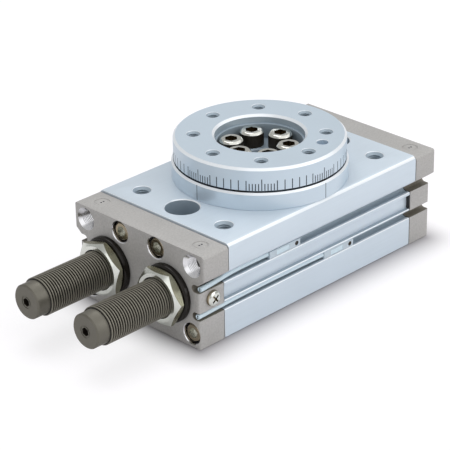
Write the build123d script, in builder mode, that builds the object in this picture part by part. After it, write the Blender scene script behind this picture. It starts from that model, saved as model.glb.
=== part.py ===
from build123d import *
from math import acos, cos, pi, radians, sin, sqrt, tan
import os

# Pneumatic rotary table: two air driven racks turn a pinion, and the pinion carries the table on a
# ball bearing. Lengths are in millimetres. The origin is on the table's axis in the bottom face,
# +Z is up and +X runs from the absorber end to the plain end. Right is the -Y side, left the +Y side.

# Housing section, seen along X
cylinder_wall = 10.4
side_step = 3.5
slope_foot_recess = 0.8
body_height = 52.0
cover_height = 51.0
slope_top_height = 38.0
body_edge_chamfer = 1.7
cover_edge_chamfer = 1.2
cover_corner_radius = 1.0

# Sensor grooves in both long sides, and the recessed band between them
groove_mouth = 4.1
groove_radius = 2.3
groove_depth = 4.9
lower_groove_height = 17.6
upper_groove_height = 32.5
band_bottom = 22.3
band_top = 29.4
band_depth = 2.3

# Lengths along X
body_length = 137.5
gasket_thickness = 0.5
gasket_inset = 0.4
front_cover_length = 16.5
rear_cover_length = 15.0

# Cylinder bores and rack pistons
bore_offset = 21.1
bore_height = 24.3
bore_radius = 14.0
piston_clearance = 0.1
ring_clearance = 0.04
piston_length = 90.0
piston_flat_length = 66.0
seal_width = 3.2
seal_depth = 2.2
seal_margin = 1.4
wear_ring_width = 4.2
wear_ring_depth = 1.2
wear_ring_margin = 6.4
strike_plug_radius = 6.0
strike_plug_length = 6.0
magnet_radius = 4.0
magnet_thickness = 3.0
magnet_recess = 0.8

# Rack and pinion
gear_module = 1.25
pinion_teeth = 20
pressure_angle = 20.0
rack_gap_count = 15
backlash = 0.1
tooth_face = 18.0
chamber_clearance = 0.75
swing_half_angle = 95.0

# Table and the fixed ring under it
table_radius = 44.0
table_top = 74.0
table_thickness = 12.0
table_edge_chamfer = 1.2
table_bore_radius = 23.0
table_bore_depth = 4.5
table_bore_chamfer = 1.2
pocket_radius = 22.0
pocket_depth = 12.5
hub_radius = 24.0
table_hole_circle = 33.5
table_hole_radius = 2.5
table_hole_depth = 10.0
table_hole_chamfer = 1.2
table_holes = 8
pin_hole_radius = 3.0
pin_hole_depth = 6.5
pin_hole_angle = -67.5
ring_radius = 45.0
ring_gap = 0.8
ring_edge_chamfer = 1.0
hub_clearance = 1.3
ring_relief = 1.0
ring_screw_circle = 39.2
ring_screws = 6
ring_screw_angle = 30.0
ring_screw_length = 12.0
ring_thread_depth = 9.0

# Hollow shaft and the screws that hold the table on it
hollow_radius = 8.0
hollow_chamfer = 0.7
table_screw_circle = 15.0
table_screws = 6
table_screw_length = 16.0
table_thread_depth = 8.5
shaft_end_height = 3.0
neck_radius = 13.4
neck_clearance = 0.7
pinion_top_gap = 0.1
flange_radius = 22.6
flange_thickness = 0.8
flange_clearance = 0.3
shaft_floor_gap = 0.5
table_pin_radius = 2.0
table_pin_length = 9.0

# Ball bearings: bore radius, outer radius and width
upper_bearing_bore = 20.0
upper_bearing_outer = 34.0
upper_bearing_width = 9.0
upper_ball_radius = 3.1
lower_bearing_bore = 10.0
lower_bearing_outer = 13.5
lower_bearing_width = 4.0
lower_bearing_bottom = 5.4
lower_ball_radius = 0.95
lower_seat_lip = 1.0
bearing_balls = 9
ball_clearance = 0.08
seat_clearance = 0.02
snap_ring_thickness = 1.2
snap_ring_depth = 0.5

# Mounting holes in the housing
pilot_radius = 17.0
pilot_depth = 2.5
mount_half_length = 55.3
mount_half_width = 28.85
mount_thread_radius = 3.4
mount_thread_chamfer = 1.35
top_thread_depth = 12.0
base_thread_depth = 10.0
through_radius = 5.2
counterbore_radius = 8.75
counterbore_depth = 11.0
counterbore_chamfer = 0.5

# Cover screws, air ports and drilled passages
top_screw_offset = 12.55
top_screw_height = 45.0
foot_screw_margin = 5.7
foot_screw_height = 7.05
cover_screw_length = 20.0
port_margin = 8.1
port_height = 43.9
port_radius = 4.3
port_depth = 10.0
port_chamfer = 1.1
chamber_pocket_depth = 6.5
passage_inset = 2.8
passage_setback = 7.65
passage_radius = 2.0
passage_bottom = 29.0
plug_radius = 4.0
plug_length = 2.4

# Screws: shank radius, head radius, head height and socket width across flats
m8_cap = (4.0, 6.25, 8.0, 6.0)
m6_cap = (3.0, 5.0, 6.0, 5.0)
m5_cap = (2.5, 4.25, 5.0, 4.0)
counterbore_slack = 0.5
head_sink = 1.0
thread_clearance = 0.03
blind_end = 1.5
shank_clearance = 0.3
pan_screw_radius = 2.0
pan_head_radius = 3.65
pan_head_height = 2.4
pan_screw_length = 6.0
pan_screw_setback = 7.75
pan_screw_height = 25.4

# Shock absorbers
absorber_radius = 10.0
absorber_front = -139.7
absorber_end_length = 6.5
absorber_end_radius = 8.9
absorber_socket_width = 4.0
absorber_socket_depth = 4.0
absorber_chamfer = 0.6
plunger_stroke = 12.0
plunger_radius = 3.0
plunger_reach = 0.27
plunger_head_radius = 7.0
plunger_head_length = 4.0
plunger_clearance = 0.05
absorber_guide_length = 6.0
absorber_cavity_radius = 7.6
absorber_wall = 12.0
nut_across_flats = 27.0
nut_thickness = 5.3
nut_face_radius = 12.5
right_nut_angle = -0.9
left_nut_angle = -16.3
washer_radius = 15.2
washer_thickness = 3.25
washer_chamfer = 0.9
o_ring_section = 0.9

# Sensors and their leads in the right side
switch_length = 21.8
switch_radius = 2.0
switch_face_recess = 0.3
switch_screw_radius = 1.2
switch_screw_length = 2.4
switch_screw_setback = 2.5
upper_switch_start = -36.8
lower_switch_start = 2.9
lead_radius = 1.35
upper_lead_inset = 1.1
upper_lead_height = 32.2
upper_lead_end = -84.2
lower_lead_inset = 1.7
lower_lead_height = 17.8
lower_lead_end = -85.5

# Rear buffers
buffer_radius = 8.0
buffer_seat_depth = 1.0
buffer_gap = 0.27

# Places that follow from the sizes above
upper_half_width = bore_offset + bore_radius + cylinder_wall
lower_half_width = upper_half_width - side_step
slope_foot_half_width = lower_half_width - slope_foot_recess
foot_screw_offset = lower_half_width - foot_screw_margin
cover_screw_places = [
    (-top_screw_offset, top_screw_height),
    (top_screw_offset, top_screw_height),
    (-foot_screw_offset, foot_screw_height),
    (foot_screw_offset, foot_screw_height),
]
port_offset = upper_half_width - port_margin
passage_offset = port_offset - passage_inset
switch_face = lower_half_width - switch_face_recess
upper_lead_offset = lower_half_width - upper_lead_inset
lower_lead_offset = lower_half_width - lower_lead_inset
front_joint = -body_length / 2 - gasket_thickness
front_face = front_joint - front_cover_length
rear_joint = body_length / 2 + gasket_thickness
rear_face = rear_joint + rear_cover_length
pitch_radius = gear_module * pinion_teeth / 2
tip_radius = pitch_radius + gear_module
root_radius = pitch_radius - 1.25 * gear_module
base_radius = pitch_radius * cos(radians(pressure_angle))
rack_pitch = pi * gear_module
teeth_bottom = bore_height - tooth_face / 2
teeth_top = bore_height + tooth_face / 2
chamber_radius = tip_radius + chamber_clearance
piston_radius = bore_radius - piston_clearance
piston_travel = radians(swing_half_angle) * pitch_radius
upper_bearing_bottom = body_height - upper_bearing_width
lower_bearing_top = lower_bearing_bottom + lower_bearing_width
table_bottom = table_top - table_thickness
pocket_floor = table_top - pocket_depth
ring_top = table_bottom - ring_gap
upper_race = (upper_bearing_bore + upper_bearing_outer) / 2
lower_race = (lower_bearing_bore + lower_bearing_outer) / 2
piston_limit = piston_length / 2 + piston_travel
plunger_tip = -piston_limit - plunger_reach
absorber_back = plunger_tip - plunger_stroke
nut_back = front_face - washer_thickness
sides = {"right": -1, "left": 1}


def rims(part, radius, axis, place):
    # Circular edges of this radius whose centre lies at this place along the axis
    circles = part.edges().filter_by(GeomType.CIRCLE)
    return [
        edge
        for edge in circles
        if abs(edge.radius - radius) < 0.001
        and abs(tuple(edge.arc_center)[axis] - place) < 0.001
    ]


def housing_outline(top, edge, inset=0.0):
    # Right half of the section from the middle of the base to the middle of the top, then mirrored
    upper_lip_top = upper_groove_height - groove_mouth / 2
    slope_foot_height = upper_groove_height + groove_mouth / 2
    with BuildLine() as outline:
        Polyline(
            (0, inset),
            (lower_half_width - inset, inset),
            (lower_half_width - inset, upper_lip_top),
            (slope_foot_half_width - inset, slope_foot_height),
            (upper_half_width - inset, slope_top_height),
            (upper_half_width - inset, top - edge),
            (upper_half_width - inset - edge, top - inset),
            (0, top - inset),
        )
        mirror(about=Plane.YZ)
    make_face(outline.edges())


def cut_grooves(radius, inset=0.0):
    # A round bottomed groove at both heights in each side, with a mouth as wide as the sensors need
    centre = lower_half_width - groove_depth + radius
    reach = upper_half_width - centre
    for height in (lower_groove_height, upper_groove_height):
        with Locations((-centre + inset, height), (centre - inset, height)):
            Circle(radius, mode=Mode.SUBTRACT)
        for side in (-1, 1):
            with Locations((side * (centre - inset + reach / 2), height)):
                Rectangle(reach, groove_mouth, mode=Mode.SUBTRACT)


def drill_x(start, places, radius, depth):
    # Round holes along X from a plane across the housing, towards +X where the depth is positive
    with BuildSketch(Plane.YZ.offset(start)) as holes:
        with Locations(*places):
            Circle(radius)
    extrude(holes.sketch, amount=depth, mode=Mode.SUBTRACT)


def drill_z(start, places, radius, depth):
    # Round holes along Z from a level, upwards where the depth is positive
    with BuildSketch(Plane.XY.offset(start)) as holes:
        with Locations(*places):
            Circle(radius)
    extrude(holes.sketch, amount=depth, mode=Mode.SUBTRACT)


def circle_places(radius, count, start=0.0):
    turns = [radians(start + 360 * step / count) for step in range(count)]
    return [(radius * cos(turn), radius * sin(turn)) for turn in turns]


def ring_profile(inner, outer, bottom, top, mode=Mode.ADD):
    # Rectangular profile of a ring about the Z axis, drawn in the XZ plane
    with Locations(((inner + outer) / 2, (bottom + top) / 2)):
        Rectangle(outer - inner, top - bottom, mode=mode)


def cap_screw(sizes, length):
    # Socket head cap screw with its head up and the underside of the head at the origin
    shank_radius, head_radius, head_height, socket_width = sizes
    with BuildPart() as screw:
        Cylinder(shank_radius, length, align=(Align.CENTER, Align.CENTER, Align.MAX))
        Cylinder(head_radius, head_height, align=(Align.CENTER, Align.CENTER, Align.MIN))
        chamfer(rims(screw.part, head_radius, 2, head_height), head_height * 0.08)
        chamfer(rims(screw.part, shank_radius, 2, -length), shank_radius * 0.2)
        with BuildSketch(Plane.XY.offset(head_height)):
            RegularPolygon(socket_width / 2, 6, major_radius=False)
        extrude(amount=-head_height / 2, mode=Mode.SUBTRACT)
    return screw.part


def keep(solid, name):
    solid.label = name
    export_step(solid, f"parts/{name}.step")


os.makedirs("parts", exist_ok=True)

bore_places = [(side * bore_offset, bore_height) for side in sides.values()]
mount_places = [
    (x * mount_half_length, y * mount_half_width) for x in (-1, 1) for y in (-1, 1)
]
through_places = [(-mount_half_length, 0), (mount_half_length, 0)]
port_places = [(side * port_offset, port_height) for side in sides.values()]
front_passages = [
    (front_joint - passage_setback, side * passage_offset) for side in sides.values()
]
rear_passages = [
    (rear_joint + passage_setback, side * passage_offset) for side in sides.values()
]
screw_hole_radius = m6_cap[0] + thread_clearance
screw_hole_depth = cover_screw_length - rear_cover_length + m6_cap[2] + head_sink + blind_end

# Main housing: both cylinders, the pinion chamber and the two bearing seats in one extrusion
with BuildPart() as body_housing:
    with BuildSketch(Plane.YZ.offset(-body_length / 2)):
        housing_outline(body_height, body_edge_chamfer)
        cut_grooves(groove_radius)
        for side in (-1, 1):
            with Locations((side * (lower_half_width - band_depth / 2), (band_bottom + band_top) / 2)):
                Rectangle(band_depth, band_top - band_bottom, mode=Mode.SUBTRACT)
        with Locations(*bore_places):
            Circle(bore_radius, mode=Mode.SUBTRACT)
    extrude(amount=body_length)
    bearing_seat = upper_bearing_outer + seat_clearance
    flange_bottom = upper_bearing_bottom - flange_thickness - flange_clearance
    flange_room = (upper_race + upper_bearing_outer) / 2 - upper_ball_radius / 2
    shaft_floor = lower_bearing_top + shaft_floor_gap
    drill_z(body_height, [(0, 0)], bearing_seat, -upper_bearing_width)
    drill_z(upper_bearing_bottom, [(0, 0)], flange_room, flange_bottom - upper_bearing_bottom)
    drill_z(flange_bottom, [(0, 0)], chamber_radius, shaft_floor - flange_bottom)
    foot_seat = lower_bearing_outer + seat_clearance
    drill_z(shaft_floor, [(0, 0)], foot_seat, lower_bearing_bottom - shaft_floor)
    drill_z(lower_bearing_bottom, [(0, 0)], lower_bearing_outer - lower_seat_lip, -lower_bearing_bottom)
    drill_z(0, [(0, 0)], pilot_radius, pilot_depth)
    drill_z(body_height, mount_places, mount_thread_radius, -top_thread_depth)
    drill_z(0, mount_places, mount_thread_radius, base_thread_depth)
    drill_z(body_height, through_places, through_radius, -body_height)
    drill_z(body_height, through_places, counterbore_radius, -counterbore_depth)
    ring_screw_places = circle_places(ring_screw_circle, ring_screws, ring_screw_angle)
    drill_z(body_height, ring_screw_places, m5_cap[0] + thread_clearance, -ring_thread_depth)
    drill_x(-body_length / 2, cover_screw_places, screw_hole_radius, screw_hole_depth)
    drill_x(body_length / 2, cover_screw_places, screw_hole_radius, -screw_hole_depth)
    chamfer(rims(body_housing.part, mount_thread_radius, 2, body_height), mount_thread_chamfer)
    chamfer(rims(body_housing.part, mount_thread_radius, 2, 0), mount_thread_chamfer / 2)
    chamfer(rims(body_housing.part, counterbore_radius, 2, body_height), counterbore_chamfer)
keep(body_housing.part, "body_housing")


def cover(joint, face, passages):
    # End cover between its joint and its outer face, with open sensor grooves and screw counterbores
    outward = 1 if face > joint else -1
    with BuildPart() as shell:
        with BuildSketch(Plane.YZ.offset(joint)):
            housing_outline(cover_height, cover_edge_chamfer)
            cut_grooves(groove_mouth / 2)
        extrude(amount=face - joint)
        outer_face = shell.faces().filter_by(Axis.X).sort_by(Axis.X)[-1 if outward > 0 else 0]
        corners = [
            edge
            for edge in outer_face.edges().filter_by(Axis.Z)
            if abs(edge.center().Y) > slope_foot_half_width
        ]
        fillet(corners, cover_corner_radius)
        head_room = m6_cap[2] + head_sink
        drill_x(face, cover_screw_places, m6_cap[1] + counterbore_slack, -outward * head_room)
        drill_x(face, cover_screw_places, m6_cap[0] + shank_clearance, joint - face)
        drill_z(cover_height, passages, plug_radius + seat_clearance, -plug_length)
        drill_z(cover_height, passages, passage_radius, passage_bottom - cover_height)
        drill_x(joint, bore_places, bore_radius, outward * chamber_pocket_depth)
    return shell


# Front cover: carries the absorbers and takes the air lines
with BuildPart() as front_cover:
    add(cover(front_joint, front_face, front_passages).part)
    drill_x(front_face, bore_places, absorber_radius + seat_clearance, front_cover_length)
    drill_x(front_face, port_places, port_radius, port_depth)
    chamfer(rims(front_cover.part, port_radius, 0, front_face), port_chamfer)
    for side in sides.values():
        with BuildSketch(
            Plane(
                (front_joint - pan_screw_setback, side * lower_half_width, pan_screw_height),
                x_dir=(1, 0, 0),
                z_dir=(0, side, 0),
            )
        ):
            Circle(pan_screw_radius + thread_clearance)
        extrude(amount=-pan_screw_length - blind_end, mode=Mode.SUBTRACT)
keep(front_cover.part, "front_cover")

# Rear cover: closes the plain ends of both cylinders and seats the buffers
with BuildPart() as rear_cover:
    add(cover(rear_joint, rear_face, rear_passages).part)
    drill_x(
        rear_joint + chamber_pocket_depth,
        bore_places,
        buffer_radius + seat_clearance,
        buffer_seat_depth,
    )
keep(rear_cover.part, "rear_cover")

# Flat gaskets between the housing and its covers, set back a little from the outside
for name, start in (("front_gasket", front_joint), ("rear_gasket", body_length / 2)):
    with BuildPart() as gasket:
        with BuildSketch(Plane.YZ.offset(start)):
            housing_outline(cover_height, cover_edge_chamfer, gasket_inset)
            cut_grooves(groove_radius, gasket_inset)
            with Locations(*bore_places):
                Circle(bore_radius + 0.5, mode=Mode.SUBTRACT)
            with Locations(*cover_screw_places):
                Circle(m6_cap[0] + shank_clearance, mode=Mode.SUBTRACT)
        extrude(amount=gasket_thickness)
    keep(gasket.part, name)

# Fixed ring: holds the outer race down and fills the space under the table
ring_head_room = m5_cap[2] + counterbore_slack
ring_seat = ring_top - ring_head_room
with BuildPart() as bearing_retainer:
    with BuildSketch(Plane.XZ):
        ring_profile(hub_radius + hub_clearance, ring_radius, body_height, ring_top)
        ring_profile(0, flange_room, body_height, body_height + ring_relief, Mode.SUBTRACT)
    revolve(axis=Axis.Z)
    chamfer(rims(bearing_retainer.part, ring_radius, 2, ring_top), ring_edge_chamfer)
    drill_z(ring_top, ring_screw_places, m5_cap[1] + counterbore_slack, ring_seat - ring_top)
    drill_z(ring_seat, ring_screw_places, m5_cap[0] + shank_clearance, body_height - ring_seat)
keep(bearing_retainer.part, "bearing_retainer")

# Screws of the fixed ring, hidden under the table
with BuildPart() as retainer_screws:
    with Locations(*[(x, y, ring_seat) for x, y in ring_screw_places]):
        add(cap_screw(m5_cap, ring_screw_length))
keep(retainer_screws.part, "retainer_screws")

# Cover screws, heads outwards at both ends
for name, face, outward in (
    ("front_cover_screws", front_face, -1),
    ("rear_cover_screws", rear_face, 1),
):
    seat = face - outward * (m6_cap[2] + head_sink)
    with BuildPart() as screws:
        for y, z in cover_screw_places:
            with Locations(Plane((seat, y, z), x_dir=(0, 1, 0), z_dir=(outward, 0, 0))):
                add(cap_screw(m6_cap, cover_screw_length))
    keep(screws.part, name)

# Plugs in the drilled passages of both covers, flush with the top
with BuildPart() as passage_plugs:
    with BuildSketch(Plane.XY.offset(cover_height)):
        with Locations(*front_passages, *rear_passages):
            Circle(plug_radius)
    extrude(amount=-plug_length)
keep(passage_plugs.part, "passage_plugs")

# Pan head screws on the middle band of the front cover
with BuildPart() as side_screws:
    for side in sides.values():
        place = (front_joint - pan_screw_setback, side * lower_half_width, pan_screw_height)
        with Locations(Plane(place, x_dir=(1, 0, 0), z_dir=(0, side, 0))):
            Cylinder(pan_screw_radius, pan_screw_length, align=(Align.CENTER, Align.CENTER, Align.MAX))
            Cylinder(pan_head_radius, pan_head_height, align=(Align.CENTER, Align.CENTER, Align.MIN))
    heads = rims(side_screws.part, pan_head_radius, 1, -lower_half_width - pan_head_height)
    heads += rims(side_screws.part, pan_head_radius, 1, lower_half_width + pan_head_height)
    fillet(heads, pan_head_height * 0.4)
keep(side_screws.part, "side_screws")


def race(inner, outer, bottom, width, ball_radius, ball_circle):
    # Ring of a ball bearing with its groove, on whichever side the balls run
    with BuildPart() as ring:
        with BuildSketch(Plane.XZ):
            ring_profile(inner, outer, bottom, bottom + width)
            with Locations((ball_circle, bottom + width / 2)):
                Circle(ball_radius + ball_clearance, mode=Mode.SUBTRACT)
        revolve(axis=Axis.Z)
    return ring.part


def ball_set(bottom, width, ball_radius, ball_circle):
    # Balls at even steps in a thin cage ring with round pockets
    middle = bottom + width / 2
    cage_half_height = ball_radius * 1.2
    cage_half_thickness = ball_radius * 0.2
    with BuildPart() as balls:
        with BuildSketch(Plane.XZ):
            ring_profile(
                ball_circle - cage_half_thickness,
                ball_circle + cage_half_thickness,
                middle - cage_half_height,
                middle + cage_half_height,
            )
        revolve(axis=Axis.Z)
        with Locations((0, 0, middle)):
            with PolarLocations(ball_circle, bearing_balls):
                Cylinder(
                    ball_radius + ball_clearance,
                    4 * cage_half_thickness,
                    rotation=(0, 90, 0),
                    mode=Mode.SUBTRACT,
                )
        with Locations((0, 0, middle)):
            with PolarLocations(ball_circle, bearing_balls):
                Sphere(ball_radius)
    return balls.part


# Main ball bearing of the table, and the small one at the foot of the shaft
for place, inner, outer, bottom, width, ball_radius, ball_circle in (
    (
        "upper",
        upper_bearing_bore,
        upper_bearing_outer,
        upper_bearing_bottom,
        upper_bearing_width,
        upper_ball_radius,
        upper_race,
    ),
    (
        "lower",
        lower_bearing_bore,
        lower_bearing_outer,
        lower_bearing_bottom,
        lower_bearing_width,
        lower_ball_radius,
        lower_race,
    ),
):
    shoulder = ball_radius * 0.8
    inner_race = race(inner, ball_circle - shoulder, bottom, width, ball_radius, ball_circle)
    outer_race = race(ball_circle + shoulder, outer, bottom, width, ball_radius, ball_circle)
    keep(inner_race, f"{place}_bearing_inner_ring")
    keep(outer_race, f"{place}_bearing_outer_ring")
    keep(ball_set(bottom, width, ball_radius, ball_circle), f"{place}_bearing_balls")


def flank_point(radius, side):
    # Point of the involute flank of a tooth that lies on the +X axis
    def involute(at_radius):
        angle = acos(base_radius / at_radius)
        return tan(angle) - angle

    half_tooth = pi / (2 * pinion_teeth) + involute(pitch_radius) - involute(radius)
    return (radius * cos(half_tooth), side * radius * sin(half_tooth))


# One pinion tooth: two involute flanks that run straight down into the root circle
with BuildSketch() as pinion_tooth:
    middle_radius = (base_radius + tip_radius) / 2
    foot_x, foot_y = flank_point(base_radius, 1)
    inside_x = root_radius - 0.5
    flank_radii = (base_radius, middle_radius, tip_radius)
    with BuildLine():
        right_flank = ThreePointArc(*[flank_point(radius, -1) for radius in flank_radii])
        left_flank = ThreePointArc(*[flank_point(radius, 1) for radius in flank_radii])
        ThreePointArc(right_flank @ 1, (tip_radius, 0), left_flank @ 1)
        Polyline(
            left_flank @ 0,
            (inside_x, foot_y * inside_x / foot_x),
            (inside_x, -foot_y * inside_x / foot_x),
            right_flank @ 0,
        )
    make_face()

# Pinion and hollow shaft in one piece, from the foot bearing to the table
pinion_top = body_height - pinion_top_gap
neck_bottom = bore_height + sqrt(piston_radius**2 - (bore_offset - neck_radius) ** 2) + neck_clearance
lower_shoulder = lower_race - lower_ball_radius * 0.8
with BuildPart() as pinion:
    with BuildSketch(Plane.XZ):
        ring_profile(0, lower_bearing_bore, shaft_end_height, lower_bearing_top)
        ring_profile(0, lower_shoulder, lower_bearing_top, teeth_bottom)
        ring_profile(0, root_radius, teeth_top, neck_bottom)
        ring_profile(0, neck_radius, neck_bottom, upper_bearing_bottom - flange_thickness)
        ring_profile(0, flange_radius, upper_bearing_bottom - flange_thickness, upper_bearing_bottom)
        ring_profile(0, upper_bearing_bore, upper_bearing_bottom, pinion_top)
        ring_profile(0, root_radius, teeth_bottom, teeth_top)
        groove_top = lower_bearing_bottom
        ring_profile(
            lower_bearing_bore - snap_ring_depth,
            lower_bearing_bore + 1.0,
            groove_top - snap_ring_thickness,
            groove_top,
            Mode.SUBTRACT,
        )
    revolve(axis=Axis.Z)
    with BuildSketch(Plane.XY.offset(teeth_bottom)):
        with PolarLocations(0, pinion_teeth):
            add(pinion_tooth.sketch)
    extrude(amount=tooth_face)
    drill_z(0, [(0, 0)], hollow_radius, body_height)
    screw_places = circle_places(table_screw_circle, table_screws)
    pin_place = circle_places(table_screw_circle, 1, 180.0 / table_screws)
    drill_z(pinion_top, screw_places, m8_cap[0] + thread_clearance, -table_thread_depth)
    drill_z(pinion_top, pin_place, table_pin_radius + seat_clearance, -table_pin_length / 2)
keep(pinion.part, "pinion")

# Retaining ring under the foot bearing, open over part of its turn
with BuildPart() as shaft_snap_ring:
    with BuildSketch(Plane.XY.offset(lower_bearing_bottom - snap_ring_thickness)):
        Circle(lower_shoulder)
        Circle(lower_bearing_bore - snap_ring_depth, mode=Mode.SUBTRACT)
        with Locations((lower_bearing_bore, 0)):
            Rectangle(lower_bearing_bore / 2, lower_bearing_bore * 0.4, mode=Mode.SUBTRACT)
    extrude(amount=snap_ring_thickness)
keep(shaft_snap_ring.part, "shaft_snap_ring")

# Turning table: disc, central locating bore, screw pocket and the hub that clamps the inner race
with BuildPart() as table:
    with BuildSketch(Plane.XZ):
        ring_profile(0, table_radius, table_bottom, table_top)
        ring_profile(0, hub_radius, body_height, table_bottom)
    revolve(axis=Axis.Z)
    drill_z(table_top, [(0, 0)], table_bore_radius, -table_bore_depth)
    drill_z(table_top - table_bore_depth, [(0, 0)], pocket_radius, table_bore_depth - pocket_depth)
    drill_z(pocket_floor, [(0, 0)], hollow_radius, body_height - pocket_floor)
    drill_z(pocket_floor, screw_places, m8_cap[0] + shank_clearance, body_height - pocket_floor)
    drill_z(body_height, pin_place, table_pin_radius + seat_clearance, table_pin_length / 2)
    hole_places = circle_places(table_hole_circle, table_holes)
    drill_z(table_top, hole_places, table_hole_radius, -table_hole_depth)
    pin_hole_place = circle_places(table_hole_circle, 1, pin_hole_angle)
    drill_z(table_top, pin_hole_place, pin_hole_radius, -pin_hole_depth)
    chamfer(rims(table.part, table_radius, 2, table_top), table_edge_chamfer)
    chamfer(rims(table.part, table_bore_radius, 2, table_top), table_bore_chamfer)
    chamfer(rims(table.part, table_hole_radius, 2, table_top), table_hole_chamfer)
    chamfer(rims(table.part, hollow_radius, 2, pocket_floor), hollow_chamfer)
keep(table.part, "table")

# Six screws and one dowel that fasten the table to the shaft
with BuildPart() as table_screw_set:
    with Locations(*[(x, y, pocket_floor) for x, y in screw_places]):
        add(cap_screw(m8_cap, table_screw_length))
keep(table_screw_set.part, "table_screws")
with BuildPart() as table_pin:
    with BuildSketch(Plane.XY.offset(pinion_top - table_pin_length / 2 + 0.2)):
        with Locations(*pin_place):
            Circle(table_pin_radius)
    extrude(amount=table_pin_length - 0.4)
keep(table_pin.part, "table_pin")


def piston_rings(side, margin, width, depth):
    # The same kind of ring near both ends of a piston
    places = [piston_length / 2 - margin - width, -piston_length / 2 + margin]
    with BuildPart() as rings:
        for start in places:
            with BuildSketch(Plane.YZ.offset(start)):
                with Locations((side * bore_offset, bore_height)):
                    Circle(bore_radius - ring_clearance)
                    Circle(piston_radius - depth, mode=Mode.SUBTRACT)
            extrude(amount=width)
    return rings.part


def rack_piston(side):
    # Round bar with a flat that carries the rack teeth, and a grooved head at each end
    tip_plane = pitch_radius - gear_module
    root_plane = pitch_radius + 1.25 * gear_module
    slope = tan(radians(pressure_angle))
    gap_half_width = rack_pitch / 4 + backlash / 2
    tip_half_width = gap_half_width + (pitch_radius - tip_plane) * slope
    root_half_width = gap_half_width - (root_plane - pitch_radius) * slope
    with BuildSketch() as gap:
        with BuildLine():
            Polyline(
                (-tip_half_width, side * tip_plane),
                (-root_half_width, side * root_plane),
                (root_half_width, side * root_plane),
                (tip_half_width, side * tip_plane),
                close=True,
            )
        make_face()
    with BuildPart() as piston:
        with BuildSketch(Plane.YZ.offset(-piston_length / 2)):
            with Locations((side * bore_offset, bore_height)):
                Circle(piston_radius)
        extrude(amount=piston_length)
        for margin, width, depth in (
            (seal_margin, seal_width, seal_depth),
            (wear_ring_margin, wear_ring_width, wear_ring_depth),
        ):
            for start in (piston_length / 2 - margin - width, -piston_length / 2 + margin):
                with BuildSketch(Plane.YZ.offset(start)):
                    with Locations((side * bore_offset, bore_height)):
                        Circle(bore_radius)
                        Circle(piston_radius - depth, mode=Mode.SUBTRACT)
                extrude(amount=width, mode=Mode.SUBTRACT)
        with BuildSketch(Plane.XY):
            with Locations((0, side * tip_plane / 2)):
                Rectangle(piston_flat_length, tip_plane)
        extrude(amount=body_height, mode=Mode.SUBTRACT)
        with BuildSketch(Plane.XY):
            with GridLocations(rack_pitch, 1, rack_gap_count, 1):
                add(gap.sketch)
        extrude(amount=body_height, mode=Mode.SUBTRACT)
        bore_place = [(side * bore_offset, bore_height)]
        drill_x(-piston_length / 2, bore_place, strike_plug_radius + seat_clearance, strike_plug_length)
        with BuildSketch(magnet_plane(side)):
            Circle(magnet_radius + seat_clearance)
        extrude(amount=-magnet_thickness - magnet_recess, mode=Mode.SUBTRACT)
    return piston.part


def magnet_plane(side):
    # Plane that touches the outer side of a piston at the middle of its length
    outside = side * (bore_offset + piston_radius)
    return Plane((0, outside, bore_height), x_dir=(1, 0, 0), z_dir=(0, side, 0))


def axis_sketch(side):
    # Half plane through an absorber's axis: x runs along the axis, y outwards from it
    return Plane((0, side * bore_offset, bore_height), x_dir=(1, 0, 0), z_dir=(0, -1, 0))


def absorber_barrel(side):
    # Threaded barrel with a turned down end, a hollow for the plunger and a guide at its mouth
    guide_radius = plunger_radius + plunger_clearance
    cavity_front = absorber_front + absorber_wall
    guide_back = absorber_back - absorber_guide_length
    with BuildPart() as barrel:
        with BuildSketch(axis_sketch(side)):
            for start, end, radius in (
                (absorber_front, absorber_front + absorber_end_length, absorber_end_radius),
                (absorber_front + absorber_end_length, absorber_back, absorber_radius),
            ):
                with Locations(((start + end) / 2, radius / 2)):
                    Rectangle(end - start, radius)
            with Locations(((cavity_front + guide_back) / 2, absorber_cavity_radius / 2)):
                Rectangle(guide_back - cavity_front, absorber_cavity_radius, mode=Mode.SUBTRACT)
            with Locations((absorber_back - absorber_guide_length / 2, guide_radius / 2)):
                Rectangle(absorber_guide_length * 1.5, guide_radius, mode=Mode.SUBTRACT)
        revolve(axis=Axis((0, side * bore_offset, bore_height), (1, 0, 0)))
        chamfer(rims(barrel.part, absorber_end_radius, 0, absorber_front), absorber_chamfer)
        chamfer(
            rims(barrel.part, absorber_radius, 0, absorber_front + absorber_end_length),
            absorber_chamfer,
        )
        with BuildSketch(Plane.YZ.offset(absorber_front)):
            with Locations((side * bore_offset, bore_height)):
                RegularPolygon(absorber_socket_width / 2, 6, major_radius=False)
        extrude(amount=absorber_socket_depth, mode=Mode.SUBTRACT)
    return barrel.part


def plunger_rod(side):
    # Rod that the piston strikes, with the head that keeps it in the barrel
    head_back = absorber_back - absorber_guide_length - 1.0
    with BuildPart() as rod:
        with BuildSketch(axis_sketch(side)):
            for start, end, radius in (
                (head_back - plunger_head_length, plunger_tip, plunger_radius),
                (head_back - plunger_head_length, head_back, plunger_head_radius),
            ):
                with Locations(((start + end) / 2, radius / 2)):
                    Rectangle(end - start, radius)
        revolve(axis=Axis((0, side * bore_offset, bore_height), (1, 0, 0)))
        chamfer(rims(rod.part, plunger_radius, 0, plunger_tip), plunger_radius * 0.2)
    return rod.part


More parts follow.
